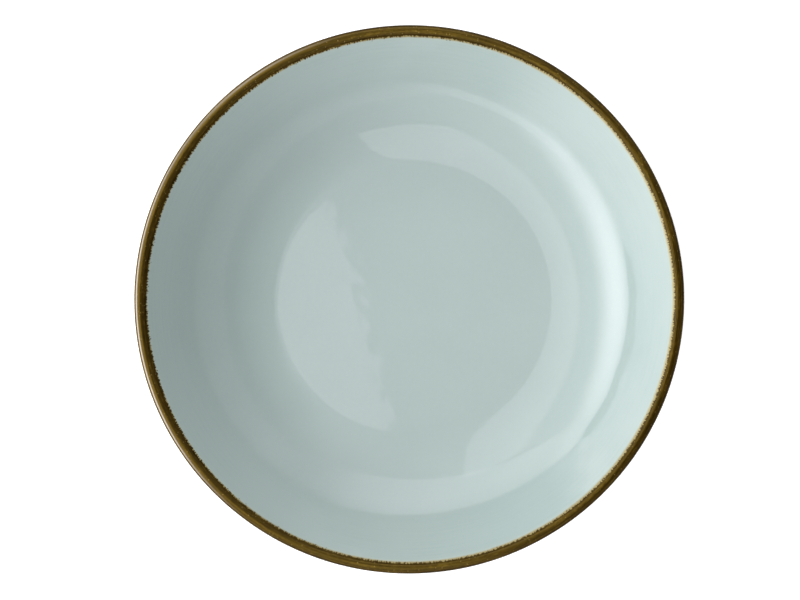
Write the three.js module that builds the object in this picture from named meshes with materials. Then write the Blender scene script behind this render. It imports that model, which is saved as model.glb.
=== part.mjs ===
// Deep coupe plate: one stoneware body on a foot ring, and the glazes that are fired onto it.
// Body and coats are turned about +Z from one curve, the skin of the clay, drawn in the half plane
// of radius and height. A coat is the shell between two lifted copies of a stretch of that skin.
// Millimetres. The origin is the middle of the standing face, +Z up.

import * as THREE from "three";

// Overall sizes, over the glaze
const RIM_DIAMETER = 230;
const PLATE_HEIGHT = 45; // standing face to the crest of the lip
const LIP_THICKNESS = 4.4; // the lip is a full half round

// Clay body
const SIDE_RUN = 55.5; // level distance from the edge of the flat well to the middle of the lip
const WALL_SLOPE = 43; // degrees above the level
const FLARE_ANGLE = 11; // degrees of that slope that the wide flare above the cove makes up
const FLARE_SPREAD = 3; // radius of the flare, in radii of the cove
const FLOOR_THICKNESS = 5;

// Foot ring, turned in the same clay
const FOOT_OUTSET = 8; // from the edge of the well to the middle of the ring
const FOOT_WIDTH = 5;
const FOOT_HEIGHT = 3.6; // standing face to the base inside the ring
const FOOT_ROUND = 0.8; // rounded edges of the standing face
const FOOT_FILLET = 1.2; // hollow corners where the ring meets the base

// Coats of glaze
const GLAZE_THICKNESS = 0.4;
const BREAK_THICKNESS = 0.3; // the pale line, where the glaze runs thin
const BOND_GAP = 0.02; // between the clay and a coat
const BAND_INSIDE = 1.1; // brown band down the inner wall, from the end of the half round
const BAND_OUTSIDE = 3.2; // and down the outer wall
const BREAK_WIDTH = 1.8; // pale line between the brown band and the grey-blue glaze
const DRY_MARGIN = 0.5; // clay left bare above the rounded edges of the standing face

// Fineness of the facets
const FACETS_AROUND = 48;
const COVE_STEPS = 8;
const FLARE_STEPS = 4;
const LIP_STEPS = [2, 4, 2]; // below the widest point, up to the crest, and down the inside
const SMALL_STEPS = 2; // foot rounds and fillets
const SAME_POINT = 1e-6; // stretches meet in points this close, which count once

// Finishes
const CLAY = new THREE.MeshStandardMaterial({ color: 0xcdbfa6, roughness: 0.85, metalness: 0 });
const BLUE_GLAZE = new THREE.MeshStandardMaterial({ color: 0xb1c2bf, roughness: 0.12, metalness: 0 });
const BROWN_GLAZE = new THREE.MeshStandardMaterial({ color: 0x5a4218, roughness: 0.3, metalness: 0 });
const PALE_GLAZE = new THREE.MeshStandardMaterial({ color: 0xddd3b4, roughness: 0.3, metalness: 0 });

// The wall runs up at its slope, and its inner side faces the axis and upwards.
const wallAngle = THREE.MathUtils.degToRad(WALL_SLOPE);
const alongWall = new THREE.Vector2(Math.cos(wallAngle), Math.sin(wallAngle));
const wallFacing = new THREE.Vector2(-Math.sin(wallAngle), Math.cos(wallAngle));
const outsideAngle = wallAngle - Math.PI / 2; // of the direction that the outer wall faces
const insideAngle = wallAngle + Math.PI / 2;
const flareAngle = wallAngle - THREE.MathUtils.degToRad(FLARE_ANGLE); // slope where the cove ends
const flareFacing = new THREE.Vector2(-Math.sin(flareAngle), Math.cos(flareAngle));

const lip = {
  centre: new THREE.Vector2(RIM_DIAMETER / 2 - LIP_THICKNESS / 2, PLATE_HEIGHT - LIP_THICKNESS / 2),
  radius: LIP_THICKNESS / 2 - GLAZE_THICKNESS - BOND_GAP,
};
const wellRadius = lip.centre.x - SIDE_RUN;
const baseHeight = FOOT_HEIGHT;
const floorHeight = baseHeight + FLOOR_THICKNESS;

// Both sweeps start level at the edge of the well and end along a side of the wall: under the plate
// in one arc, and inside it in the cove and the flare that goes on from it.
const underCove = sweepTo(baseHeight, wallFacing.dot(lip.centre) - lip.radius, 1);
const cove = sweepTo(floorHeight, wallFacing.dot(lip.centre) + lip.radius, FLARE_SPREAD);
const flare = {
  centre: cove.centre.clone().addScaledVector(flareFacing, (FLARE_SPREAD - 1) * cove.radius),
  radius: FLARE_SPREAD * cove.radius,
};

const foot = {
  inner: wellRadius + FOOT_OUTSET - FOOT_WIDTH / 2,
  outer: wellRadius + FOOT_OUTSET + FOOT_WIDTH / 2,
  glazeLine: FOOT_ROUND + DRY_MARGIN,
};
const outerFillet = footFillet();

// Arc that leaves the given height at the edge of the well. It goes on from the slope flareAngle with
// its radius times spread, and then touches a side of the wall: the line of points whose part along
// wallFacing is the given distance.
function sweepTo(height, distance, spread) {
  const start = new THREE.Vector2(wellRadius, height);
  const flareShare = 1 - wallFacing.dot(flareFacing);
  const radius = (wallFacing.dot(start) - distance) / (1 - wallFacing.y + (spread - 1) * flareShare);
  return { centre: new THREE.Vector2(wellRadius, height + radius), radius };
}

// Centre of the hollow corner that touches the outside of the foot and the sweep above it.
function footFillet() {
  const x = foot.outer + FOOT_FILLET;
  const reach = underCove.radius + FOOT_FILLET;
  const drop = Math.sqrt(reach ** 2 - (x - wellRadius) ** 2);
  return new THREE.Vector2(x, underCove.centre.y - drop);
}

function arcPoints(centre, radius, fromAngle, toAngle, steps) {
  return Array.from({ length: steps + 1 }, (_, i) => {
    const angle = fromAngle + ((toAngle - fromAngle) * i) / steps;
    return new THREE.Vector2(Math.cos(angle), Math.sin(angle)).multiplyScalar(radius).add(centre);
  });
}

// The skin of the clay, lifted off it by a distance, as named stretches in order: from the middle of
// the base over the foot, up the outside, over the lip and down the inside to the middle of the well.
// A round corner grows with the lift and a hollow one shrinks, so lifted copies stay parallel.
function skin(lift) {
  const point = (x, y) => new THREE.Vector2(x, y);
  const quarter = Math.PI / 2;
  const innerSide = foot.inner - lift;
  const outerSide = foot.outer + lift;
  const roundRadius = FOOT_ROUND + lift;
  const hollowRadius = FOOT_FILLET - lift;
  const lipRadius = lip.radius + lift;
  const innerCorner = point(foot.inner - FOOT_FILLET, baseHeight - FOOT_FILLET);
  const innerEdge = point(foot.inner + FOOT_ROUND, FOOT_ROUND);
  const outerEdge = point(foot.outer - FOOT_ROUND, FOOT_ROUND);
  const toSweep = underCove.centre.clone().sub(outerFillet).angle();
  const fromSweep = toSweep - Math.PI;
  const outerWall = (drop) =>
    lip.centre.clone().addScaledVector(wallFacing, -lipRadius).addScaledVector(alongWall, -drop);
  const innerWall = (drop) =>
    lip.centre.clone().addScaledVector(wallFacing, lipRadius).addScaledVector(alongWall, -drop);
  const lipTurns = [outsideAngle, 0, quarter, insideAngle];
  const innerSweep = [
    ...arcPoints(flare.centre, flare.radius - lift, outsideAngle, flareAngle - quarter, FLARE_STEPS),
    ...arcPoints(cove.centre, cove.radius - lift, flareAngle - quarter, -quarter, COVE_STEPS),
  ];

  return {
    base: [point(0, baseHeight - lift), point(innerCorner.x, baseHeight - lift)],
    baseCorner: arcPoints(innerCorner, hollowRadius, quarter, 0, SMALL_STEPS),
    footInside: [point(innerSide, foot.glazeLine)],
    footBare: [
      ...arcPoints(innerEdge, roundRadius, 2 * quarter, 3 * quarter, SMALL_STEPS),
      ...arcPoints(outerEdge, roundRadius, -quarter, 0, SMALL_STEPS),
      point(outerSide, foot.glazeLine),
    ],
    footOutside: [point(outerSide, outerFillet.y)],
    footCorner: arcPoints(outerFillet, hollowRadius, Math.PI, toSweep, SMALL_STEPS),
    underCove: arcPoints(underCove.centre, underCove.radius + lift, fromSweep, outsideAngle, COVE_STEPS),
    wallOutside: [outerWall(BAND_OUTSIDE + BREAK_WIDTH)],
    breakOutside: [outerWall(BAND_OUTSIDE)],
    bandOutside: [outerWall(0)],
    lip: LIP_STEPS.flatMap((steps, i) =>
      arcPoints(lip.centre, lipRadius, lipTurns[i], lipTurns[i + 1], steps),
    ),
    bandInside: [innerWall(BAND_INSIDE)],
    breakInside: [innerWall(BAND_INSIDE + BREAK_WIDTH)],
    wallInside: [innerSweep[0]],
    cove: innerSweep,
    well: [point(0, floorHeight + lift)],
  };
}

// Points of some neighbouring stretches, with the point where the first of them starts.
function pointsAlong(lift, first, last) {
  const stretches = Object.entries(skin(lift));
  const names = stretches.map(([name]) => name);
  const before = stretches.slice(0, names.indexOf(first)).flatMap(([, points]) => points);
  const wanted = stretches.slice(names.indexOf(first), names.indexOf(last) + 1);
  const points = [...before.slice(-1), ...wanted.flatMap(([, stretch]) => stretch)];
  return points.filter((p, i) => i === 0 || p.distanceTo(points[i - 1]) > SAME_POINT);
}

// A profile turned about the axis, with the axis upright.
function turned(name, profile, material) {
  const geometry = new THREE.LatheGeometry(profile, FACETS_AROUND).rotateX(Math.PI / 2);
  const mesh = new THREE.Mesh(geometry, material);
  mesh.name = name;
  return mesh;
}

function clayBody() {
  return turned("clay_body", pointsAlong(0, "base", "well"), CLAY);
}

// One coat over the stretches from first to last. Where it crosses the axis, its profile ends there.
function coat(name, first, last, thickness, material) {
  const face = pointsAlong(BOND_GAP + thickness, first, last);
  const back = pointsAlong(BOND_GAP, first, last).reverse();
  const onAxis = (p) => p.x === 0;
  if (onAxis(face[0])) return turned(name, [...face, ...back], material);
  if (onAxis(back[0])) return turned(name, [...back, ...face], material);
  return turned(name, [...face, ...back, face[0]], material);
}

const plate = new THREE.Group();
plate.name = "deep_plate";
plate.add(
  clayBody(),
  coat("base_glaze", "base", "footInside", GLAZE_THICKNESS, BLUE_GLAZE),
  coat("outside_glaze", "footOutside", "wallOutside", GLAZE_THICKNESS, BLUE_GLAZE),
  coat("outside_break_line", "breakOutside", "breakOutside", BREAK_THICKNESS, PALE_GLAZE),
  coat("rim_band", "bandOutside", "bandInside", GLAZE_THICKNESS, BROWN_GLAZE),
  coat("inside_break_line", "breakInside", "breakInside", BREAK_THICKNESS, PALE_GLAZE),
  coat("inside_glaze", "wallInside", "well", GLAZE_THICKNESS, BLUE_GLAZE),
);

export default plate;
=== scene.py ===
"""Deep coupe plate, dressed: a turned stoneware body and the coats of glaze that are fired onto it.

Every piece is turned by one Geometry Nodes tree from the same curve, the skin of the clay. A coat is a
stretch of that skin lifted off the clay, and its ends thin out, round over or butt against the next coat.
Metres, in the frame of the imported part: the origin is the middle of the standing face, +Z up. Shader
patterns are measured in millimetres.
"""

import logging
import math
from dataclasses import dataclass, field
from enum import Enum
from typing import Any, NamedTuple

import bmesh
import bpy
from mathutils import Matrix, Vector


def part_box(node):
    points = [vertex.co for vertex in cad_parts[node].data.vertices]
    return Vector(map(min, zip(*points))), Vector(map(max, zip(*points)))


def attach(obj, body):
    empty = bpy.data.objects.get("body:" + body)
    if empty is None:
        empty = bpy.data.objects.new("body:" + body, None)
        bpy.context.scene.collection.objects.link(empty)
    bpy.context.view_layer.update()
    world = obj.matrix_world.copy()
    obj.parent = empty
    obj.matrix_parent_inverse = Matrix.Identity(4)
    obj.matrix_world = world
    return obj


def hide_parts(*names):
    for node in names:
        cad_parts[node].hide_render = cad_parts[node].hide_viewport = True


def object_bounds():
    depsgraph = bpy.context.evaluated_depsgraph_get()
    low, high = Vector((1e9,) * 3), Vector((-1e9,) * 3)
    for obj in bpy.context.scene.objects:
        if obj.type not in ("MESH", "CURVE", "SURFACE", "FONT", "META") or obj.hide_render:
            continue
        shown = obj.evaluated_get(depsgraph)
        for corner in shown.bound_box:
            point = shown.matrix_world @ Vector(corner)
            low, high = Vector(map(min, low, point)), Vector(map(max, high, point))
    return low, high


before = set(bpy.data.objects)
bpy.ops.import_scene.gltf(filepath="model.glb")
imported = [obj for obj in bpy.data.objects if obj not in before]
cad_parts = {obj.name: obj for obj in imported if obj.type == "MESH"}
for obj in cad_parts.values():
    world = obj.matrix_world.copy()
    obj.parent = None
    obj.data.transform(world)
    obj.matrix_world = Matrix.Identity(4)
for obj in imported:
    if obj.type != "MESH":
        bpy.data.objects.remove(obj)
CAD_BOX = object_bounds()

MM = 0.001
PER_MM = 1000.0
SAME_POINT = 1e-6
BODY = "root"
CREST_ATTRIBUTE = "from_crest"
PLACE_SOCKETS = ("Strip", "Place")
DAYLIGHT = (1.02, 1.0, 1.025)

log = logging.getLogger("deep_plate")

Colour = tuple[float, float, float, float]
Span = tuple[float, float]
Socket = bpy.types.NodeSocket
Tree = bpy.types.NodeTree
Material = bpy.types.Material


def heading(angle: float) -> tuple[float, float, float]:
    """Level direction at an angle from +X."""
    return math.cos(angle), math.sin(angle), 0.0


class Slot(Enum):
    """Material slots of the record."""

    CLAY = "clay"
    BLUE = "blue_glaze"
    BROWN = "brown_glaze"
    PALE = "pale_glaze"


class Mark(Enum):
    """Places along the skin of the clay where one coat ends or the shape turns."""

    BASE_MIDDLE = "middle of the base"
    FOOT_INSIDE = "glaze line inside the foot"
    FOOT_OUTSIDE = "glaze line outside the foot"
    OUTER_BLUE = "top of the outer grey-blue glaze"
    OUTER_BAND = "lower edge of the brown band outside"
    CREST = "crest of the lip"
    INNER_BAND = "lower edge of the brown band inside"
    INNER_BLUE = "top of the inner grey-blue glaze"
    WELL_MIDDLE = "middle of the well"


class CoatEnd(Enum):
    """How a coat leaves off: the share of its depth at the very end."""

    FLUSH = 1.0
    THINNED = 0.9
    ROUNDED = 0.0


class SocketKind(Enum):
    """Kinds of sockets on a node group."""

    VALUE = "NodeSocketFloat"
    VECTOR = "NodeSocketVector"
    COUNT = "NodeSocketInt"
    SWITCH = "NodeSocketBool"
    SHAPE = "NodeSocketGeometry"
    FINISH = "NodeSocketMaterial"


@dataclass
class Outline:
    """Line through the half plane of radius and height, with the lengths at which its marks lie."""

    step: float
    points: list[Vector] = field(default_factory=list)
    marks: dict[Mark, float] = field(default_factory=dict)
    length: float = 0.0
    least_steps: int = 8

    def start(self, radius: float, height: float) -> None:
        """Puts the first point."""
        self.points.append(Vector((radius, height)))

    def line(self, radius: float, height: float) -> None:
        """Goes straight to a point, in steps.

        Args:
            radius: Distance of the point from the axis.
            height: Height of the point.
        """
        begin = self.points[-1]
        end = Vector((radius, height))
        stride = (end - begin).length
        if stride < SAME_POINT:
            return
        steps = math.ceil(stride / self.step)
        self.points += [begin.lerp(end, i / steps) for i in range(1, steps + 1)]
        self.length += stride

    def arc(self, centre: Vector, radius: float, start: float, end: float) -> None:
        """Goes round an arc, from where its first point lies.

        Args:
            centre: Centre of the arc.
            radius: Its radius.
            start: Angle of its first point, from the level direction outwards.
            end: Angle of its last point.
        """
        steps = max(self.least_steps, math.ceil(abs(end - start) * radius / self.step))
        for i in range(steps + 1):
            angle = start + (end - start) * i / steps
            self.line(centre.x + radius * math.cos(angle), centre.y + radius * math.sin(angle))

    def mark(self, mark: Mark) -> None:
        """Keeps the length reached so far under a mark."""
        self.marks[mark] = self.length

    def mesh(self, name: str) -> bpy.types.Mesh:
        """Makes a chain of edges, radius along X and height along Z.

        Args:
            name: Name of the mesh.

        Returns:
            The chain, in the order of the points.
        """
        mesh = bpy.data.meshes.new(name)
        corners = [(point.x, 0.0, point.y) for point in self.points]
        edges = [(i, i + 1) for i in range(len(corners) - 1)]
        mesh.from_pydata(corners, edges, [])
        return mesh


@dataclass
class PlateSkin:
    """Skin of the clay: the curve that the body is turned from and that the coats follow."""

    rim_radius: float
    height: float
    coat_depth: float
    foot_inner: float
    base_height: float
    floor_height: float
    glaze_line: float
    bond_gap: float
    lip_thickness: float = 4.4 * MM
    crest_shift: float = 0.5 * MM
    side_run: float = 55.5 * MM
    wall_slope: float = math.radians(43)
    flare_angle: float = math.radians(11)
    flare_spread: float = 3.0
    foot_width: float = 5.0 * MM
    foot_round: float = 0.8 * MM
    foot_fillet: float = 1.2 * MM
    band_inside: float = 1.1 * MM
    band_outside: float = 3.2 * MM
    break_width: float = 1.8 * MM
    fineness: float = 0.25 * MM
    lip_fineness: float = 0.125 * MM

    @classmethod
    def from_frame(cls, bond_gap: float = 0.02 * MM) -> "PlateSkin":
        """Reads the sizes that the frame shows.

        Args:
            bond_gap: Gap between the clay and a coat.

        Returns:
            The skin, with the other sizes as they are drawn.
        """
        rim = CAD_BOX[1]
        clay_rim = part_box("clay_body")[1]
        base_low, base_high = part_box("base_glaze")
        return cls(
            rim_radius=rim.x,
            height=rim.z,
            coat_depth=rim.x - clay_rim.x - bond_gap,
            foot_inner=base_high.x + bond_gap,
            base_height=base_high.z + bond_gap,
            floor_height=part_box("inside_glaze")[0].z - bond_gap,
            glaze_line=base_low.z,
            bond_gap=bond_gap,
        )

    @property
    def facing(self) -> Vector:
        """Direction that the inner side of the wall faces."""
        return Vector((-math.sin(self.wall_slope), math.cos(self.wall_slope)))

    @property
    def along(self) -> Vector:
        """Direction up the wall."""
        return Vector((math.cos(self.wall_slope), math.sin(self.wall_slope)))

    @property
    def lip_centre(self) -> Vector:
        """Middle of the half-round lip."""
        half = self.lip_thickness / 2
        return Vector((self.rim_radius - half, self.height - half))

    @property
    def lip_radius(self) -> float:
        """Radius of the clay under the coat of the lip."""
        return self.lip_thickness / 2 - self.coat_depth - self.bond_gap

    @property
    def well_radius(self) -> float:
        """Radius of the flat well, where the cove starts."""
        return self.lip_centre.x - self.side_run

    @property
    def cove_slope(self) -> float:
        """Slope at which the cove ends and the flare above it starts."""
        return self.wall_slope - self.flare_angle

    def sweep(self, height: float, side: float, spread: float = 1.0) -> tuple[Vector, float]:
        """Finds the arc that leaves a height at the edge of the well on its way to a side of the wall.

        Args:
            height: Height that the arc leaves.
            side: 1 for the inner side of the wall and -1 for the outer side.
            spread: Radius of the flare that goes on from the arc to the wall, in radii of the arc.

        Returns:
            The centre and the radius of the arc.
        """
        start = Vector((self.well_radius, height))
        distance = self.facing.dot(self.lip_centre) + side * self.lip_radius
        flare_share = (spread - 1) * (1 - math.cos(self.flare_angle))
        radius = (self.facing.dot(start) - distance) / (1 - self.facing.y + flare_share)
        return start + Vector((0, radius)), radius

    def round_lip(self, line: Outline, start: float, end: float) -> None:
        """Goes round a part of the lip, a half round that is pulled inwards between its two sides.

        Args:
            line: Outline to go on with.
            start: Angle of the first point, from the level direction outwards.
            end: Angle of the last point.
        """
        inside_angle = self.wall_slope + math.pi / 2
        steps = math.ceil((end - start) * self.lip_radius / self.lip_fineness)
        for i in range(steps + 1):
            angle = start + (end - start) * i / steps
            pull = self.crest_shift * math.sin(math.pi * max(angle, 0.0) / inside_angle) ** 2
            spot = self.lip_centre + self.lip_radius * Vector((math.cos(angle), math.sin(angle)))
            line.line(spot.x - pull, spot.y)

    def wall_point(self, side: float, drop: float) -> Vector:
        """Point of the wall, a distance below the end of the half round on that side."""
        return self.lip_centre + self.facing * side * self.lip_radius - self.along * drop

    def outline(self) -> Outline:
        """Draws the skin from the middle of the base, round foot and lip, to the middle of the well.

        Returns:
            The outline with all its marks.
        """
        quarter = math.pi / 2
        outside_angle = self.wall_slope - quarter
        inside_angle = self.wall_slope + quarter
        foot_outer = self.foot_inner + self.foot_width
        line = Outline(self.fineness)
        line.start(0.0, self.base_height)
        line.mark(Mark.BASE_MIDDLE)

        corner = Vector((self.foot_inner - self.foot_fillet, self.base_height - self.foot_fillet))
        line.arc(corner, self.foot_fillet, quarter, 0.0)
        line.line(self.foot_inner, self.glaze_line)
        line.mark(Mark.FOOT_INSIDE)
        edge = Vector((self.foot_inner + self.foot_round, self.foot_round))
        line.arc(edge, self.foot_round, math.pi, 3 * quarter)
        edge = Vector((foot_outer - self.foot_round, self.foot_round))
        line.arc(edge, self.foot_round, -quarter, 0.0)
        line.line(foot_outer, self.glaze_line)
        line.mark(Mark.FOOT_OUTSIDE)

        under, under_radius = self.sweep(self.base_height, -1)
        reach = foot_outer + self.foot_fillet
        drop = math.sqrt((under_radius + self.foot_fillet) ** 2 - (reach - under.x) ** 2)
        fillet = Vector((reach, under.y - drop))
        to_sweep = math.atan2(under.y - fillet.y, under.x - fillet.x)
        line.arc(fillet, self.foot_fillet, math.pi, to_sweep)
        line.arc(under, under_radius, to_sweep - math.pi, outside_angle)
        line.line(*self.wall_point(-1, self.band_outside + self.break_width))
        line.mark(Mark.OUTER_BLUE)
        line.line(*self.wall_point(-1, self.band_outside))
        line.mark(Mark.OUTER_BAND)

        self.round_lip(line, outside_angle, quarter)
        line.mark(Mark.CREST)
        self.round_lip(line, quarter, inside_angle)
        line.line(*self.wall_point(1, self.band_inside))
        line.mark(Mark.INNER_BAND)
        line.line(*self.wall_point(1, self.band_inside + self.break_width))
        line.mark(Mark.INNER_BLUE)
        cove, cove_radius = self.sweep(self.floor_height, 1, self.flare_spread)
        flare_facing = Vector((-math.sin(self.cove_slope), math.cos(self.cove_slope)))
        flare = cove + flare_facing * (self.flare_spread - 1) * cove_radius
        flare_end = self.cove_slope - quarter
        line.arc(flare, self.flare_spread * cove_radius, outside_angle, flare_end)
        line.arc(cove, cove_radius, flare_end, -quarter)
        line.line(0.0, self.floor_height)
        line.mark(Mark.WELL_MIDDLE)
        return line


class NodeBench:
    """Lays nodes in a tree and wires them."""

    def __init__(self, tree: Tree) -> None:
        """Starts work on a tree."""
        self.tree = tree

    def node(self, kind: str, wires: dict | None = None, **settings: Any) -> bpy.types.Node:
        """Adds a node.

        Args:
            kind: Blender's name for the node.
            wires: What goes into its inputs, by name or place: a value or another node's socket.
            settings: Properties of the node itself.

        Returns:
            The new node.
        """
        node = self.tree.nodes.new(kind)
        for name, value in settings.items():
            setattr(node, name, value)
        for key, value in (wires or {}).items():
            self.feed(node.inputs[key], value)
        return node

    def feed(self, socket: Socket, value: Any) -> None:
        """Links a socket to an input, or sets the input to a value.

        Args:
            socket: The input.
            value: What goes in: a value or another node's socket.
        """
        if isinstance(value, Socket):
            self.tree.links.new(value, socket)
        else:
            socket.default_value = value

    def math(self, operation: str, *terms: Any) -> Socket:
        """Works out one sum on values."""
        return self.node("ShaderNodeMath", dict(enumerate(terms)), operation=operation).outputs[0]

    def vector(self, operation: str, *terms: Any) -> Socket:
        """Works out one sum on vectors that gives a vector."""
        node = self.node("ShaderNodeVectorMath", dict(enumerate(terms)), operation=operation)
        return node.outputs["Vector"]

    def dot(self, first: Any, second: Any) -> Socket:
        """Works out the dot product of two vectors."""
        node = self.node("ShaderNodeVectorMath", {0: first, 1: second}, operation="DOT_PRODUCT")
        return node.outputs["Value"]

    def xyz(self, x: Any, y: Any, z: Any) -> Socket:
        """Joins three values into a vector."""
        return self.node("ShaderNodeCombineXYZ", {0: x, 1: y, 2: z}).outputs[0]

    def parts(self, vector: Any) -> list[Socket]:
        """Splits a vector into its three values."""
        return list(self.node("ShaderNodeSeparateXYZ", {0: vector}).outputs)

    def ease(
        self, value: Any, low: Any, high: Any, at_low: Any = 0.0, at_high: Any = 1.0
    ) -> Socket:
        """Maps a range smoothly onto another, and holds the ends.

        Args:
            value: What is mapped.
            low: Where the range starts.
            high: Where it ends.
            at_low: What comes out where it starts.
            at_high: What comes out where it ends.

        Returns:
            The mapped value.
        """
        wires = dict(enumerate((value, low, high, at_low, at_high)))
        node = self.node("ShaderNodeMapRange", wires, interpolation_type="SMOOTHSTEP")
        return node.outputs["Result"]

    def mix(self, share: Any, first: Any, second: Any) -> Socket:
        """Mixes two values."""
        return self.node("ShaderNodeMix", {0: share, 2: first, 3: second}).outputs[0]

    def blend(self, share: Any, first: Any, second: Any) -> Socket:
        """Mixes two colours."""
        wires = {0: share, 6: first, 7: second}
        return self.node("ShaderNodeMix", wires, data_type="RGBA").outputs[2]

    def noise(self, place: Any, seed: float, detail: float) -> Socket:
        """Gives smooth noise from 0 to 1, one swell to each unit of place."""
        wires = {"Vector": place, "W": seed, "Scale": 1.0, "Detail": detail}
        return self.node("ShaderNodeTexNoise", wires, noise_dimensions="4D").outputs[0]

    def scaled(self, place: Any, size: Any) -> Socket:
        """Measures a place in units of a size, the same in all directions."""
        return self.vector("DIVIDE", place, self.xyz(size, size, size))


@dataclass
class TurnedPiece:
    """One piece to turn: a stretch of the skin, as a coat or as the solid body."""

    name: str
    node: str
    slot: Slot
    first: Mark
    last: Mark
    segments: int
    rows: int
    depth: float
    first_end: CoatEnd = CoatEnd.FLUSH
    last_end: CoatEnd = CoatEnd.FLUSH
    end_run: float = 0.6 * MM
    crowding: float = 0.0
    solid: bool = False


@dataclass
class PottersWheel:
    """Geometry Nodes tree that turns a stretch of the skin into a closed piece."""

    skin: PlateSkin
    lean: float = 0.9 * MM
    lean_reach: float = 6.0 * MM
    lean_direction: float = math.radians(168)
    unevenness: float = 0.11 * MM
    swell: float = 32.0 * MM
    swell_seed: float = 3.0
    ripple: float = 0.035 * MM
    ripple_width: float = 7.0 * MM
    ripple_seed: float = 8.0
    ovalness: float = 0.0024
    oval_direction: float = math.radians(8.5)
    sharp_angle: float = math.radians(40)
    outline: Outline = field(init=False)
    tree: Tree = field(init=False)
    inputs: dict[str, str] = field(init=False, default_factory=dict)

    def __post_init__(self) -> None:
        """Draws the skin and builds the tree."""
        self.outline = self.skin.outline()
        self.tree = bpy.data.node_groups.new("turned_from_skin", "GeometryNodeTree")
        kinds = {
            SocketKind.SHAPE: ("Skin",),
            SocketKind.COUNT: ("Segments", "Rows"),
            SocketKind.SWITCH: ("Solid",),
            SocketKind.VALUE: (
                "First", "Last", "Depth", "Bond Gap", "First Share", "Last Share", "End Run", "Roundness",
                "Crowding", "Crest", "Inner Line", "Outer Line", "Lean", "Unevenness", "Ripple", "Ovalness",
            ),
            SocketKind.FINISH: ("Finish",),
        }
        sockets = self.tree.interface
        for kind, names in kinds.items():
            for name in names:
                socket = sockets.new_socket(name, in_out="INPUT", socket_type=kind.value)
                self.inputs[name] = socket.identifier
        sockets.new_socket("Piece", in_out="OUTPUT", socket_type=SocketKind.SHAPE.value)
        self._wire()

    def _wire(self) -> None:
        """Lays the nodes of the tree."""
        bench = NodeBench(self.tree)
        given = bench.node("NodeGroupInput").outputs
        rows = given["Rows"]
        shell_rows = bench.math("MULTIPLY_ADD", rows, 2.0, 1.0)
        grid_rows = bench.mix(given["Solid"], shell_rows, rows)
        columns = bench.math("ADD", given["Segments"], 1.0)
        grid = bench.node("GeometryNodeMeshGrid", {"Vertices X": columns, "Vertices Y": grid_rows})

        index = bench.node("GeometryNodeInputIndex").outputs[0]
        column = bench.math("FLOOR", bench.math("DIVIDE", index, grid_rows))
        row = bench.math("SUBTRACT", index, bench.math("MULTIPLY", column, grid_rows))
        turn = bench.math("MULTIPLY", bench.math("DIVIDE", column, given["Segments"]), math.tau)
        direction = bench.xyz(bench.math("COSINE", turn), bench.math("SINE", turn), 0.0)

        last_back_row = bench.math("MULTIPLY_ADD", rows, 2.0, -1.0)
        from_back = bench.math("MAXIMUM", bench.math("SUBTRACT", last_back_row, row), 0.0)
        side_row = bench.math("MINIMUM", row, from_back)
        share = bench.math("DIVIDE", side_row, bench.math("SUBTRACT", rows, 1.0))
        cosine = bench.math("COSINE", bench.math("MULTIPLY", share, math.pi))
        crowded = bench.math("MULTIPLY_ADD", cosine, -0.5, 0.5)
        share = bench.mix(given["Crowding"], share, crowded)
        past_face = bench.math("GREATER_THAN", row, bench.math("SUBTRACT", rows, 0.5))
        before_close = bench.math("LESS_THAN", row, bench.math("ADD", last_back_row, 0.5))
        on_back = bench.math("MULTIPLY", past_face, before_close)

        way = self._way(bench, given, share, direction)
        chain = bench.node("GeometryNodeMeshToCurve", {"Mesh": given["Skin"]})
        sample = bench.node("GeometryNodeSampleCurve", {"Curves": chain.outputs[0]}, mode="LENGTH")
        bench.feed(sample.inputs["Length"], way)
        radius, _, height = bench.parts(sample.outputs["Position"])
        run, _, rise = bench.parts(sample.outputs["Tangent"])

        lift = self._lift(bench, given, share, direction, (radius, height))
        back = bench.math("MULTIPLY", on_back, bench.math("SUBTRACT", 1.0, given["Solid"]))
        lift = bench.mix(back, lift, given["Bond Gap"])
        out = bench.math("MULTIPLY_ADD", rise, lift, radius)
        up = bench.math("MULTIPLY_ADD", bench.math("MULTIPLY", run, -1.0), lift, height)
        twice = bench.math("MULTIPLY_ADD", turn, 2.0, -2.0 * self.oval_direction)
        oval = bench.math("MULTIPLY_ADD", bench.math("COSINE", twice), given["Ovalness"], 1.0)
        out = bench.math("MULTIPLY", out, oval)
        along, across, _ = bench.parts(direction)
        place = bench.xyz(bench.math("MULTIPLY", along, out), bench.math("MULTIPLY", across, out), up)

        from_crest = bench.math("SUBTRACT", way, given["Crest"])
        stored = bench.node(
            "GeometryNodeStoreNamedAttribute",
            {"Geometry": grid.outputs["Mesh"], "Name": CREST_ATTRIBUTE, "Value": from_crest},
        )
        moved = bench.node("GeometryNodeSetPosition", {"Geometry": stored.outputs[0], "Position": place})
        joined = bench.node(
            "GeometryNodeMergeByDistance", {"Geometry": moved.outputs[0], "Distance": SAME_POINT}
        )
        smooth = bench.node("GeometryNodeSetShadeSmooth", {0: joined.outputs[0]})
        whole = bench.node("GeometryNodeRealizeInstances", {0: smooth.outputs[0]})
        dressed = bench.node(
            "GeometryNodeSetMaterial", {"Geometry": whole.outputs[0], "Material": given["Finish"]}
        )
        bench.node("NodeGroupOutput", {0: dressed.outputs[0]})

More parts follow.
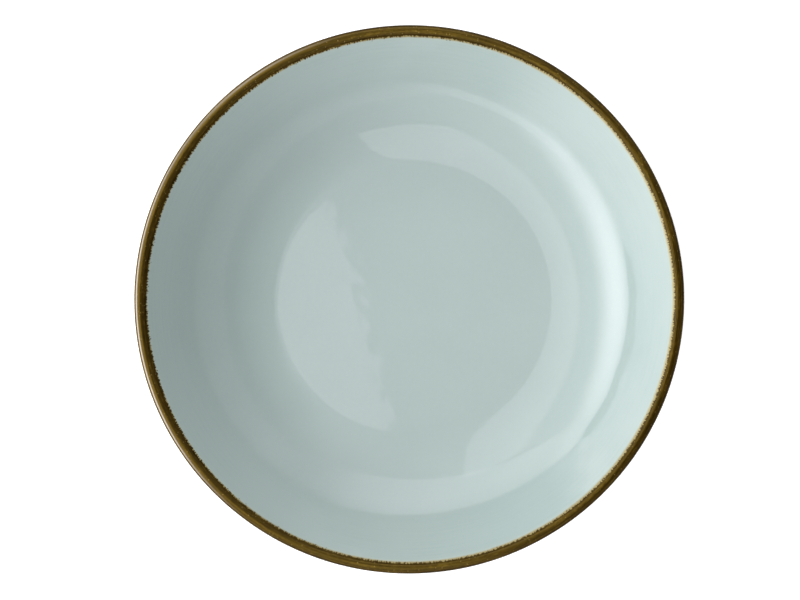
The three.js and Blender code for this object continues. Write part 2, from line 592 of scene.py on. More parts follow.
    def _way(self, bench: NodeBench, given: Any, share: Any, direction: Any) -> Socket:
        """Finds how far along the skin a point lies, with the lines of the band leaning to one side.

        Args:
            bench: Where the nodes are laid.
            given: Inputs of the tree.
            share: Place between the two ends of the piece, 0 to 1.
            direction: Level direction of the point from the axis.

        Returns:
            The length along the skin.
        """
        stretch = bench.math("SUBTRACT", given["Last"], given["First"])
        way = bench.math("MULTIPLY_ADD", stretch, share, given["First"])
        toward = bench.dot(direction, heading(self.lean_direction))
        leaning = bench.math("MULTIPLY", toward, given["Lean"])
        shift: Any = 0.0
        for line, sign in (("Inner Line", 1.0), ("Outer Line", -1.0)):
            distance = bench.math("ABSOLUTE", bench.math("SUBTRACT", way, given[line]))
            nearness = bench.ease(distance, 0.0, self.lean_reach, sign, 0.0)
            shift = bench.math("ADD", shift, nearness)
        return bench.math("MULTIPLY_ADD", leaning, shift, way)

    def _lift(
        self, bench: NodeBench, given: Any, share: Any, direction: Any, spot: tuple[Any, Any]
    ) -> Socket:
        """Finds how far the face of a coat lies off the clay.

        Args:
            bench: Where the nodes are laid.
            given: Inputs of the tree.
            share: Place between the two ends of the piece, 0 to 1.
            direction: Level direction of the point from the axis.
            spot: Radius and height of the point on the clay.

        Returns:
            The lift of the face.
        """
        tiny = SAME_POINT * MM
        stretch = bench.math("SUBTRACT", given["Last"], given["First"])
        run = bench.math("MAXIMUM", given["End Run"], tiny)
        depth = given["Depth"]
        ends = (("First Share", share), ("Last Share", bench.math("SUBTRACT", 1.0, share)))
        for name, from_end in ends:
            distance = bench.math("MULTIPLY_ADD", from_end, stretch, tiny)
            near = bench.math("MINIMUM", bench.math("DIVIDE", distance, run), 1.0)
            gap = bench.math("SUBTRACT", 1.0, near)
            squared = bench.math("MULTIPLY", gap, gap)
            round_end = bench.math("SQRT", bench.math("SUBTRACT", 1.0, squared))
            soft_end = bench.ease(near, 0.0, 1.0)
            profile = bench.mix(given["Roundness"], soft_end, round_end)
            depth = bench.math("MULTIPLY", depth, bench.mix(profile, given[name], 1.0))
        radius, height = spot
        level = bench.vector("SCALE", direction, (0, 0, 0), (0, 0, 0))
        bench.feed(level.node.inputs["Scale"], radius)
        place = bench.vector("ADD", level, bench.xyz(0.0, 0.0, height))
        lift = bench.math("ADD", depth, given["Bond Gap"])
        waves = (
            (self.swell, self.swell_seed, given["Unevenness"]),
            (self.ripple_width, self.ripple_seed, given["Ripple"]),
        )
        for width, seed, swing in waves:
            wave = bench.math("SUBTRACT", bench.noise(bench.scaled(place, width), seed, 1.0), 0.5)
            lift = bench.math("MULTIPLY_ADD", wave, swing, lift)
        return bench.mix(given["Solid"], lift, 0.0)

    def turn(self, piece: TurnedPiece, material: Material) -> bpy.types.Object:
        """Turns a piece and makes it a plain mesh.

        Args:
            piece: What to turn.
            material: Finish of the piece.

        Returns:
            The finished object, at the origin.
        """
        marks = self.outline.marks
        rounded = CoatEnd.ROUNDED in (piece.first_end, piece.last_end)
        values = {
            "First": marks[piece.first],
            "Last": marks[piece.last],
            "Segments": piece.segments,
            "Rows": piece.rows,
            "Depth": piece.depth,
            "Bond Gap": self.skin.bond_gap,
            "First Share": piece.first_end.value,
            "Last Share": piece.last_end.value,
            "End Run": piece.end_run,
            "Roundness": 1.0 if rounded else 0.0,
            "Crowding": piece.crowding,
            "Solid": piece.solid,
            "Crest": marks[Mark.CREST],
            "Inner Line": marks[Mark.INNER_BAND],
            "Outer Line": marks[Mark.OUTER_BAND],
            "Lean": 0.0 if piece.solid else self.lean,
            "Unevenness": self.unevenness,
            "Ripple": self.ripple,
            "Ovalness": self.ovalness,
            "Finish": material,
        }
        chain = bpy.data.objects.new(piece.name + "_skin", self.outline.mesh(piece.name + "_skin"))
        bpy.context.scene.collection.objects.link(chain)
        modifier = chain.modifiers.new("turned", "NODES")
        modifier.node_group = self.tree
        for name, value in values.items():
            modifier[self.inputs[name]] = value
        evaluated = chain.evaluated_get(bpy.context.evaluated_depsgraph_get())
        mesh = bpy.data.meshes.new_from_object(evaluated)
        chain.modifiers.remove(modifier)
        bpy.data.objects.remove(chain)
        mesh.name = piece.name
        self._clean(mesh)
        finished = bpy.data.objects.new(piece.name, mesh)
        bpy.context.scene.collection.objects.link(finished)
        return finished

    def _clean(self, mesh: bpy.types.Mesh) -> None:
        """Drops loose edges, turns all faces outwards and keeps the sharp ends sharp.

        Args:
            mesh: The turned mesh.
        """
        shape = bmesh.new()
        shape.from_mesh(mesh)
        loose = [edge for edge in shape.edges if not edge.link_faces]
        bmesh.ops.delete(shape, geom=loose, context="EDGES")
        bmesh.ops.recalc_face_normals(shape, faces=shape.faces)
        shape.to_mesh(mesh)
        shape.free()
        mesh.set_sharp_from_angle(angle=self.sharp_angle)


def new_group(name: str, inputs: tuple[str, ...], outputs: tuple[str, ...]) -> tuple[NodeBench, Any, Any]:
    """Starts a shader node group, whose sockets are values or, where they tell a place, vectors.

    Args:
        name: Name of the group.
        inputs: Names of its inputs.
        outputs: Names of its outputs.

    Returns:
        The group's bench, the sockets that come in, and the sockets that take what goes out.
    """
    tree = bpy.data.node_groups.new(name, "ShaderNodeTree")
    for way, labels in (("INPUT", inputs), ("OUTPUT", outputs)):
        for label in labels:
            kind = SocketKind.VECTOR if label in PLACE_SOCKETS else SocketKind.VALUE
            tree.interface.new_socket(label, in_out=way, socket_type=kind.value)
    bench = NodeBench(tree)
    return bench, bench.node("NodeGroupInput").outputs, bench.node("NodeGroupOutput").inputs


@dataclass
class GlazeEffects:
    """Shader groups that the finishes share."""

    wheel: PottersWheel
    teeth_level: float = -0.25
    teeth_range: Span = (0.36, 0.64)
    patch_size: float = 2.2
    cloud_range: Span = (0.25, 0.75)
    streak_range: Span = (0.28, 0.72)
    speck_core: float = 0.5
    break_seed: float = 5.0
    mottle_seed: float = 7.0
    streak_seed: float = 11.0
    fine_detail: float = 3.0
    rim_place: Tree = field(init=False)
    ragged_share: Tree = field(init=False)
    break_share: Tree = field(init=False)
    mottle: Tree = field(init=False)
    streaks: Tree = field(init=False)
    specks: Tree = field(init=False)

    def __post_init__(self) -> None:
        """Builds every group once."""
        self.rim_place = self._rim_place()
        self.ragged_share = self._ragged_share()
        self.break_share = self._break_share()
        self.mottle = self._mottle()
        self.streaks = self._streaks()
        self.specks = self._specks()

    def _rim_place(self) -> Tree:
        """Place on the unrolled plate, and how far past the brown band a point lies.

        Returns:
            The group, with Strip, Beyond and Place in millimetres, and Toward from -1 to 1, where the
            band leans furthest down.
        """
        bench, _, taken = new_group("rim_place", (), ("Strip", "Beyond", "Toward", "Place"))
        marks = self.wheel.outline.marks
        inner = (marks[Mark.INNER_BAND] - marks[Mark.CREST]) * PER_MM
        outer = (marks[Mark.CREST] - marks[Mark.OUTER_BAND]) * PER_MM
        place = bench.node("ShaderNodeTexCoord").outputs["Object"]
        level = bench.vector("MULTIPLY", place, (1.0, 1.0, 0.0))
        direction = bench.vector("NORMALIZE", level)
        attribute = bench.node("ShaderNodeAttribute", attribute_name=CREST_ATTRIBUTE)
        crest = bench.math("MULTIPLY", attribute.outputs["Fac"], PER_MM)
        toward = bench.dot(direction, heading(self.wheel.lean_direction))
        leaning = bench.math("MULTIPLY", toward, self.wheel.lean * PER_MM)
        inside = bench.math("SUBTRACT", crest, inner)
        outside = bench.math("SUBTRACT", bench.math("MULTIPLY", crest, -1.0), outer)
        past = bench.math("MAXIMUM", inside, outside)
        bench.feed(taken["Beyond"], bench.math("SUBTRACT", past, leaning))
        bench.feed(taken["Toward"], toward)
        rim = self.wheel.skin.rim_radius * PER_MM
        around = bench.vector("MULTIPLY", direction, (rim, rim, 0.0))
        bench.feed(taken["Strip"], bench.vector("ADD", around, bench.xyz(0.0, 0.0, crest)))
        bench.feed(taken["Place"], bench.vector("MULTIPLY", place, (PER_MM, PER_MM, PER_MM)))
        return bench.tree

    def _ragged_share(self) -> Tree:
        """Share of brown glaze at the ragged edge of the band, with teeth that run down from it.

        Returns:
            The group. Its teeth are a coarse row and a finer one.
        """
        inputs = ("Strip", "Beyond", "Spike Height", "Spike Width", "Softness")
        bench, given, taken = new_group("ragged_share", inputs, ("Share",))
        around = bench.vector("MULTIPLY", given["Strip"], (1.0, 1.0, 0.0))
        teeth: Any = self.teeth_level
        for seed, size, weight in ((1.0, 1.0, 0.6), (2.0, 0.5, 0.4)):
            width = bench.math("MULTIPLY", given["Spike Width"], size)
            waves = bench.noise(bench.scaled(around, width), seed, 1.0)
            teeth = bench.math("MULTIPLY_ADD", bench.ease(waves, *self.teeth_range), weight, teeth)
        edge = bench.math("MULTIPLY", teeth, given["Spike Height"])
        past = bench.math("SUBTRACT", given["Beyond"], edge)
        low = bench.math("MULTIPLY", given["Softness"], -1.0)
        bench.feed(taken["Share"], bench.ease(past, low, given["Softness"], 1.0, 0.0))
        return bench.tree

    def _break_share(self) -> Tree:
        """Share of grey-blue glaze where the cream line fades out below the band.

        Returns:
            The group. The line is narrower where the band leans furthest down.
        """
        inputs = ("Strip", "Beyond", "Toward", "Start", "End", "Wander", "Narrowing")
        bench, given, taken = new_group("break_share", inputs, ("Share",))
        strip = bench.scaled(given["Strip"], self.patch_size)
        patches = bench.noise(strip, self.break_seed, self.fine_detail)
        wander = bench.math("MULTIPLY", bench.math("SUBTRACT", patches, 0.5), given["Wander"])
        breadth = bench.math("SUBTRACT", 1.0, bench.math("MULTIPLY", given["Toward"], given["Narrowing"]))
        past = bench.math("DIVIDE", bench.math("ADD", given["Beyond"], wander), breadth)
        bench.feed(taken["Share"], bench.ease(past, given["Start"], given["End"]))
        return bench.tree

    def _mottle(self) -> Tree:
        """Cloudy unevenness of a colour.

        Returns:
            The group, whose Strength runs from Low to High.
        """
        bench, given, taken = new_group("mottle", ("Place", "Size", "Low", "High"), ("Strength",))
        place = bench.scaled(given["Place"], given["Size"])
        clouds = bench.noise(place, self.mottle_seed, self.fine_detail)
        strength = bench.ease(clouds, *self.cloud_range, given["Low"], given["High"])
        bench.feed(taken["Strength"], strength)
        return bench.tree

    def _streaks(self) -> Tree:
        """Streaks that run round the plate, of a length and a width.

        Returns:
            The group, whose Strength runs from 0 to 1.
        """
        bench, given, taken = new_group("streaks", ("Strip", "Length", "Width"), ("Strength",))
        size = bench.xyz(given["Length"], given["Length"], given["Width"])
        strip = bench.vector("DIVIDE", given["Strip"], size)
        lines = bench.noise(strip, self.streak_seed, self.fine_detail)
        bench.feed(taken["Strength"], bench.ease(lines, *self.streak_range))
        return bench.tree

    def _specks(self) -> Tree:
        """Scattered small dots, of which a share is kept.

        Returns:
            The group, whose Mask is 1 in the core of a dot.
        """
        bench, given, taken = new_group("specks", ("Place", "Spacing", "Radius", "Kept"), ("Mask",))
        spacing = given["Spacing"]
        cells = bench.scaled(given["Place"], spacing)
        dots = bench.node("ShaderNodeTexVoronoi", {"Vector": cells, "Scale": 1.0})
        edge = bench.math("DIVIDE", given["Radius"], spacing)
        core = bench.math("MULTIPLY", edge, self.speck_core)
        dot = bench.ease(dots.outputs["Distance"], core, edge, 1.0, 0.0)
        chance = bench.parts(dots.outputs["Color"])[0]
        kept = bench.math("LESS_THAN", chance, given["Kept"])
        bench.feed(taken["Mask"], bench.math("MULTIPLY", dot, kept))
        return bench.tree


@dataclass(frozen=True)
class GlazePalette:
    """Colours, gloss and patterns of the three glazes, which run into each other.

    Lengths are in millimetres. A fade or a zone runs over lengths from the crest or past the band, a side
    over shares toward where the band leans furthest down, and a tone over the strength of the streaks.
    """

    blue_deep: Colour = (0.3065, 0.387, 0.366, 1.0)
    blue_pale: Colour = (0.324, 0.406, 0.384, 1.0)
    cream: Colour = (0.262, 0.22, 0.092, 1.0)
    brown_dark: Colour = (0.014, 0.008, 0.001, 1.0)
    brown_mid: Colour = (0.033, 0.0185, 0.0015, 1.0)
    brown_light: Colour = (0.080, 0.050, 0.006, 1.0)
    # Paler brown of the painted highlight on the lit side of the lip.
    brown_painted_highlight: Colour = (0.145, 0.096, 0.019, 1.0)
    ochre: Colour = (0.22, 0.155, 0.048, 1.0)
    blue_roughness: float = 0.03
    cream_roughness: float = 0.14
    brown_roughness: float = 0.09
    brown_specular: float = 0.42
    brown_gleam: Colour = (1.0, 0.7, 0.15, 1.0)
    cream_gleam: Colour = (1.0, 0.83, 0.45, 1.0)
    pooled_side: Span = (0.4, 0.8)
    pooled_top: Span = (0.5, 0.9)
    pooled_foot: Span = (1.4, 2.0)
    pooled_coat: float = 1.0
    pooled_index: float = 1.8
    pooled_roughness: float = 0.06
    spike_height: float = 1.15
    spike_width: float = 0.8
    edge_softness: float = 0.14
    ring_run: Span = (2.0, 28.0)
    ring_strength: Span = (1.1, 0.1)
    streak_weight: float = 0.45
    fleck_weight: float = 0.35
    cloud_weight: float = 0.2
    mid_tone: Span = (0.15, 0.5)
    light_tone: Span = (0.5, 0.9)
    # Where the painted highlight lies: lengths from the crest, shares toward the lit side, and how strong
    # it is.
    painted_highlight_fade: Span = (-1.0, 0.9)
    painted_highlight_side: Span = (0.3, 0.85)
    painted_highlight_share: float = 0.45
    speck_flattening: float = 1.2
    speck_share: float = 0.5
    dot_zone: Span = (0.6, 1.6)
    break_start: float = 0.35
    break_end: float = 1.35
    break_wander: float = 0.6
    break_narrowing: float = 0.55


class Finish:
    """A material in the making, with its shader and its bench."""

    def __init__(self, name: str) -> None:
        """Starts a material with a Principled shader.

        Args:
            name: Name of the material.
        """
        self.material = bpy.data.materials.new(name)
        self.material.use_nodes = True
        tree = self.material.node_tree
        tree.nodes.clear()
        self.bench = NodeBench(tree)
        self.shader = self.bench.node("ShaderNodeBsdfPrincipled")
        self.bench.node("ShaderNodeOutputMaterial", {"Surface": self.shader.outputs[0]})

    def group(self, tree: Tree, **wires: Any) -> Any:
        """Places a shared group.

        Args:
            tree: The group.
            wires: What goes into its inputs, with _ for a space in a name.

        Returns:
            The outputs of the group.
        """
        node = self.bench.node("ShaderNodeGroup", node_tree=tree)
        for name, value in wires.items():
            self.bench.feed(node.inputs[name.replace("_", " ")], value)
        return node.outputs

    def shade(self, **wires: Any) -> Material:
        """Feeds the shader.

        Args:
            wires: What goes into its inputs, with _ for a space in a name.

        Returns:
            The material.
        """
        for name, value in wires.items():
            self.bench.feed(self.shader.inputs[name.replace("_", " ")], value)
        return self.material


@dataclass
class GlazeKiln:
    """Makes the finishes of the plate."""

    effects: GlazeEffects
    palette: GlazePalette = GlazePalette()

    def _blue(self, finish: Finish, spot: Any) -> Any:
        """Colour of the grey-blue glaze.

        Args:
            finish: Material in the making.
            spot: Outputs of the place group.

        Returns:
            The colour.
        """
        bench, effects, palette = finish.bench, self.effects, self.palette
        clouds = finish.group(effects.mottle, Place=spot["Place"], Size=26.0, Low=0.0, High=0.6)
        grain = finish.group(effects.mottle, Place=spot["Place"], Size=1.6, Low=0.0, High=0.4)
        rings = finish.group(effects.streaks, Strip=spot["Strip"], Length=70.0, Width=0.9)
        shade = bench.math("ADD", clouds["Strength"], grain["Strength"])
        ringed = bench.ease(spot["Beyond"], *palette.ring_run, *palette.ring_strength)
        shade = bench.math("MULTIPLY_ADD", rings["Strength"], ringed, shade)
        return bench.blend(shade, palette.blue_deep, palette.blue_pale)

    def _brown(self, finish: Finish, spot: Any) -> Any:
        """Colour of the brown glaze, streaked round the lip, with a painted highlight on the lit side of
        the lip.

        Args:
            finish: Material in the making.
            spot: Outputs of the place group.

        Returns:
            The colour.
        """
        bench, effects, palette = finish.bench, self.effects, self.palette
        strip = spot["Strip"]
        streaks = finish.group(effects.streaks, Strip=strip, Length=22.0, Width=0.7)
        flecks = finish.group(effects.streaks, Strip=strip, Length=2.2, Width=0.5)
        clouds = finish.group(effects.mottle, Place=strip, Size=9.0, Low=0.0, High=1.0)
        tone = bench.math("MULTIPLY", streaks["Strength"], palette.streak_weight)
        tone = bench.math("MULTIPLY_ADD", flecks["Strength"], palette.fleck_weight, tone)
        tone = bench.math("MULTIPLY_ADD", clouds["Strength"], palette.cloud_weight, tone)
        low = bench.blend(bench.ease(tone, *palette.mid_tone), palette.brown_dark, palette.brown_mid)
        colour = bench.blend(bench.ease(tone, *palette.light_tone), low, palette.brown_light)
        # Painted highlight: paler brown over the outer shoulder of the lip, on the side that the side
        # softbox lights.
        outer = bench.ease(bench.parts(strip)[2], *palette.painted_highlight_fade, 1.0, 0.0)
        leaning = bench.ease(spot["Toward"], *palette.painted_highlight_side, 0.0, palette.painted_highlight_share)
        colour = bench.blend(bench.math("MULTIPLY", outer, leaning), colour, palette.brown_painted_highlight)
        flattened = bench.vector("MULTIPLY", strip, (1.0, 1.0, palette.speck_flattening))
        specks = finish.group(effects.specks, Place=flattened, Spacing=1.2, Radius=0.34, Kept=0.3)
        speckled = bench.math("MULTIPLY", specks["Mask"], palette.speck_share)
        return bench.blend(speckled, colour, palette.ochre)

    def _brown_share(self, finish: Finish, spot: Any) -> Any:
        """Share of brown glaze at a point."""
        palette = self.palette
        return finish.group(
            self.effects.ragged_share,
            Strip=spot["Strip"],
            Beyond=spot["Beyond"],
            Spike_Height=palette.spike_height,
            Spike_Width=palette.spike_width,
            Softness=palette.edge_softness,
        )["Share"]

    def _blue_share(self, finish: Finish, spot: Any) -> Any:
        """Share of grey-blue glaze over cream at a point."""
        palette = self.palette
        return finish.group(
            self.effects.break_share,
            Strip=spot["Strip"],
            Beyond=spot["Beyond"],
            Toward=spot["Toward"],
            Start=palette.break_start,
            End=palette.break_end,
            Wander=palette.break_wander,
            Narrowing=palette.break_narrowing,
        )["Share"]

    def blue_glaze(self) -> Material:
        """Glossy grey-blue glaze, fading to cream below the band.

        Returns:
            The material.
        """
        finish = Finish("grey_blue_glaze")
        bench, palette = finish.bench, self.palette
        spot = finish.group(self.effects.rim_place)
        share = self._blue_share(finish, spot)
        colour = bench.blend(share, palette.cream, self._blue(finish, spot))
        roughness = bench.mix(share, palette.cream_roughness, palette.blue_roughness)
        return finish.shade(Base_Color=colour, Roughness=roughness)

    def cream_glaze(self) -> Material:
        """Thin cream glaze with brown teeth and dots from the band and blue from below.

        Returns:
            The material.
        """
        finish = Finish("cream_break_glaze")
        bench, palette = finish.bench, self.palette
        spot = finish.group(self.effects.rim_place)
        blue = self._blue_share(finish, spot)
        brown = self._brown_share(finish, spot)
        colour = bench.blend(blue, palette.cream, self._blue(finish, spot))
        dots = finish.group(self.effects.specks, Place=spot["Strip"], Spacing=1.5, Radius=0.42, Kept=0.5)
        zone = bench.ease(spot["Beyond"], *palette.dot_zone, 1.0, 0.0)
        brown = bench.math("MAXIMUM", brown, bench.math("MULTIPLY", dots["Mask"], zone))
        colour = bench.blend(brown, colour, self._brown(finish, spot))
        roughness = bench.mix(blue, palette.cream_roughness, palette.blue_roughness)
        roughness = bench.mix(brown, roughness, palette.brown_roughness)
        return finish.shade(
            Base_Color=colour,
            Roughness=roughness,
            Specular_IOR_Level=palette.brown_specular,
            Specular_Tint=palette.cream_gleam,
        )

    def brown_glaze(self) -> Material:
        """Satin olive-brown glaze of the lip, glossier where it pooled and ragged where it ends in cream.

        Returns:
            The material.
        """
        finish = Finish("brown_lip_glaze")
        bench, palette = finish.bench, self.palette
        spot = finish.group(self.effects.rim_place)
        share = self._brown_share(finish, spot)
        colour = bench.blend(share, palette.cream, self._brown(finish, spot))
        roughness = bench.mix(share, palette.cream_roughness, palette.brown_roughness)
        leaning = bench.ease(spot["Toward"], *palette.pooled_side, 0.0, palette.pooled_coat)
        drop = bench.math("MULTIPLY", bench.parts(spot["Strip"])[2], -1.0)
        below_crest = bench.ease(drop, *palette.pooled_top)
        above_edge = bench.ease(drop, *palette.pooled_foot, 1.0, 0.0)
        outside = bench.math("MULTIPLY", below_crest, above_edge)
        return finish.shade(
            Base_Color=colour,
            Roughness=roughness,
            Specular_IOR_Level=palette.brown_specular,
            Specular_Tint=palette.brown_gleam,
            Coat_Weight=bench.math("MULTIPLY", leaning, outside),
            Coat_IOR=palette.pooled_index,
            Coat_Roughness=palette.pooled_roughness,
        )


@dataclass(frozen=True)
class BareClay:
    """Fired clay of the foot, ground flat where it stands."""

    buff: Colour = (0.60, 0.50, 0.36, 1.0)
    toasted: Colour = (0.47, 0.355, 0.235, 1.0)
    iron: Colour = (0.16, 0.09, 0.045, 1.0)
    iron_share: float = 0.7
    grinding_share: float = 0.5
    bump_strength: float = 0.35
    bump_depth: float = 0.1 * MM
    roughness: Span = (0.72, 0.92)

    def material(self, effects: GlazeEffects) -> Material:
        """Makes the clay's finish.

        Args:
            effects: Shared shader groups.

        Returns:
            The material.
        """
        finish = Finish("bare_stoneware")
        bench = finish.bench
        spot = finish.group(effects.rim_place)
        clouds = finish.group(effects.mottle, Place=spot["Place"], Size=6.0, Low=0.0, High=0.6)
        grain = finish.group(effects.mottle, Place=spot["Place"], Size=0.45, Low=0.0, High=0.4)
        tone = bench.math("ADD", clouds["Strength"], grain["Strength"])
        colour = bench.blend(tone, self.buff, self.toasted)
        dots = finish.group(effects.specks, Place=spot["Place"], Spacing=2.2, Radius=0.4, Kept=0.25)
        colour = bench.blend(bench.math("MULTIPLY", dots["Mask"], self.iron_share), colour, self.iron)
        grinding = finish.group(effects.streaks, Strip=spot["Strip"], Length=40.0, Width=0.3)
        height = bench.math("MULTIPLY_ADD", grinding["Strength"], self.grinding_share, grain["Strength"])
        bump = bench.node(
            "ShaderNodeBump",
            {"Strength": self.bump_strength, "Distance": self.bump_depth, "Height": height},
        )
        roughness = bench.ease(tone, 0.0, 1.0, *self.roughness)
        return finish.shade(Base_Color=colour, Roughness=roughness, Normal=bump.outputs[0])


@dataclass
class Assembly:
    """Pieces of the plate that are turned and dressed together."""

    wheel: PottersWheel

    def pieces(self) -> list[TurnedPiece]:
        """Lists the pieces to turn."""
        raise NotImplementedError

    def build(self, finishes: dict[Slot, Material]) -> None:
        """Turns the pieces, puts them on the body and lets them stand for their CAD nodes.

        Args:
            finishes: Material of each slot.
        """
        for piece in self.pieces():
            shape = self.wheel.turn(piece, finishes[piece.slot])
            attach(shape, BODY)
            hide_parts(piece.node)
            faces = len(shape.data.polygons)
            log.info("%s stands for %s with %d faces", piece.name, piece.node, faces)


@dataclass
class StonewareBody(Assembly):
    """The turned clay body, bare on the foot and glazed over everywhere else."""

    segments: int = 360
    rows: int = 260

    def pieces(self) -> list[TurnedPiece]:
        """The body from the middle of the base to the middle of the well."""
        return [
            TurnedPiece(
                "stoneware_body", "clay_body", Slot.CLAY, Mark.BASE_MIDDLE, Mark.WELL_MIDDLE,
                self.segments, self.rows, 0.0, solid=True,
            )
        ]


@dataclass
class BowlGlaze(Assembly):
    """Glaze inside the plate: the grey-blue bowl and the cream line under the lip."""

    segments: int = 480
    bowl_rows: int = 100
    line_rows: int = 12

    def pieces(self) -> list[TurnedPiece]:
        """The cream line, then the bowl."""
        depth = self.wheel.skin.coat_depth
        return [
            TurnedPiece(
                "cream_line_inside", "inside_break_line", Slot.PALE, Mark.INNER_BAND, Mark.INNER_BLUE,
                self.segments, self.line_rows, depth, first_end=CoatEnd.THINNED,
                end_run=self.wheel.skin.break_width,
            ),
            TurnedPiece(
                "grey_blue_inside", "inside_glaze", Slot.BLUE, Mark.INNER_BLUE, Mark.WELL_MIDDLE,
                self.segments, self.bowl_rows, depth,
            ),
        ]


@dataclass
class LipBand(Assembly):
    """Brown glaze over the half-round lip."""

    segments: int = 960
    rows: int = 44
    thinning_run: float = 0.9 * MM

    def pieces(self) -> list[TurnedPiece]:
        """The band, thinned towards both of its edges."""
        return [
            TurnedPiece(
                "brown_lip_band", "rim_band", Slot.BROWN, Mark.OUTER_BAND, Mark.INNER_BAND,
                self.segments, self.rows, self.wheel.skin.coat_depth, first_end=CoatEnd.THINNED,
                last_end=CoatEnd.THINNED, end_run=self.thinning_run,
            )
        ]


@dataclass
class OutsideGlaze(Assembly):
    """Glaze outside the plate: the cream line, the grey-blue wall and the base inside the foot."""

    segments: int = 480
    wall_rows: int = 80
    line_rows: int = 12
    base_rows: int = 60
    glaze_bead: float = 0.6 * MM

    def pieces(self) -> list[TurnedPiece]:
        """The cream line, the wall and the base."""
        depth = self.wheel.skin.coat_depth
        return [
            TurnedPiece(
                "cream_line_outside", "outside_break_line", Slot.PALE, Mark.OUTER_BLUE, Mark.OUTER_BAND,
                self.segments, self.line_rows, depth, last_end=CoatEnd.THINNED,
                end_run=self.wheel.skin.break_width,
            ),
            TurnedPiece(
                "grey_blue_outside", "outside_glaze", Slot.BLUE, Mark.FOOT_OUTSIDE, Mark.OUTER_BLUE,
                self.segments, self.wall_rows, depth, first_end=CoatEnd.ROUNDED, end_run=self.glaze_bead,
                crowding=0.5,
            ),
            TurnedPiece(
                "grey_blue_base", "base_glaze", Slot.BLUE, Mark.BASE_MIDDLE, Mark.FOOT_INSIDE,
                self.segments, self.base_rows, depth, last_end=CoatEnd.ROUNDED, end_run=self.glaze_bead,
                crowding=0.5,
            ),
        ]


class Fades(NamedTuple):
    """Shares of a diffuser's width or height over which it comes in from its edges."""

    left: float
    right: float
    lower: float
    upper: float


@dataclass(frozen=True)
class SoftLight:
    """A rectangular diffuser, by its middle, its size and what it faces."""

    name: str
    middle: Vector
    faces: Vector
    width: float
    height: float
    radiance: float
    fades: Fades
    turn: float = 0.0
    tint: tuple[float, float, float] = DAYLIGHT

    def hang(self) -> None:
        """Puts the light into the scene, unseen by the camera itself."""
        lamp = bpy.data.lights.new(self.name, "AREA")
        lamp.shape = "RECTANGLE"
        lamp.color = self.tint
        lamp.size = self.width
        lamp.size_y = self.height
        lamp.energy = self.radiance * math.pi * self.width * self.height
        self._fade(lamp)
        light = bpy.data.objects.new(self.name, lamp)
        toward = self.faces - self.middle
        light.rotation_euler = toward.to_track_quat("-Z", "Y").to_euler()
        light.rotation_euler.rotate_axis("Z", self.turn)
        light.location = self.middle
        light.visible_camera = False
        bpy.context.scene.collection.objects.link(light)

    def _fade(self, lamp: bpy.types.Light) -> None:
        """Lets the light come in softly from its edges.

        Args:
            lamp: The light.
        """
        lamp.use_nodes = True
        bench = NodeBench(lamp.node_tree)
        lamp.node_tree.nodes.clear()
        across, along, _ = bench.parts(bench.node("ShaderNodeNewGeometry").outputs["Parametric"])
        strength: Any = 1.0
        from_right, from_top = (bench.math("SUBTRACT", 1.0, place) for place in (across, along))
        for distance, fade in zip((across, from_right, along, from_top), self.fades):
            if fade > 0.0:
                strength = bench.math("MULTIPLY", bench.ease(distance, 0.0, fade), strength)
        glow = bench.node("ShaderNodeEmission", {"Strength": strength})
        bench.node("ShaderNodeOutputLight", {"Surface": glow.outputs[0]})


@dataclass(frozen=True)
class RoomGlow:
    """Dim light that a side of the room gives back.

    It fades round the room between two cosines from its direction, and comes in above the floor
    between two sines.
    """

    name: str
    direction: float
    faded: float
    full: float
    low: float
    high: float
    radiance: float

    def strength(self, bench: NodeBench, ray: Any) -> Socket:
        """Works out what the glow adds along a ray.

        Args:
            bench: Where the nodes are laid.
            ray: Direction of the ray.

        Returns:
            The radiance.
        """
        level = bench.vector("NORMALIZE", bench.vector("MULTIPLY", ray, (1.0, 1.0, 0.0)))
        side = bench.ease(bench.dot(level, heading(self.direction)), self.faded, self.full)
        rise = bench.ease(bench.parts(ray)[2], self.low, self.high)
        total = bench.math("MULTIPLY", bench.math("MULTIPLY", side, rise), self.radiance)
        total.node.name = self.name
        return total


@dataclass(frozen=True)
class RoomWall:
    """Pale wall round the room, between two edges that rise toward a direction.

    An edge is the tangent of its elevation: its mean, what it gains toward the direction, and its blur.
    The wall fades round the room between two cosines from its middle.
    """

    name: str
    direction: float
    foot: tuple[float, float, float]
    top: tuple[float, float, float]
    middle: float
    faded: float
    full: float
    radiance: float

    def strength(self, bench: NodeBench, ray: Any) -> Socket:
        """Works out what the wall adds along a ray.

        Args:
            bench: Where the nodes are laid.
            ray: Direction of the ray.

        Returns:
            The radiance.
        """
        flat = bench.vector("MULTIPLY", ray, (1.0, 1.0, 0.0))
        level = bench.vector("NORMALIZE", flat)
        climb = bench.math("DIVIDE", bench.parts(ray)[2], bench.dot(flat, level))
        toward = bench.dot(level, heading(self.direction))
        total = bench.ease(bench.dot(level, heading(self.middle)), self.faded, self.full)
        for (mean, gain, blur), below in ((self.foot, 0.0), (self.top, 1.0)):
            over = bench.math("SUBTRACT", climb, bench.math("MULTIPLY_ADD", toward, gain, mean))
            total = bench.math("MULTIPLY", bench.ease(over, -blur, blur, below, 1.0 - below), total)
        total = bench.math("MULTIPLY", total, self.radiance)
        total.node.name = self.name
        return total


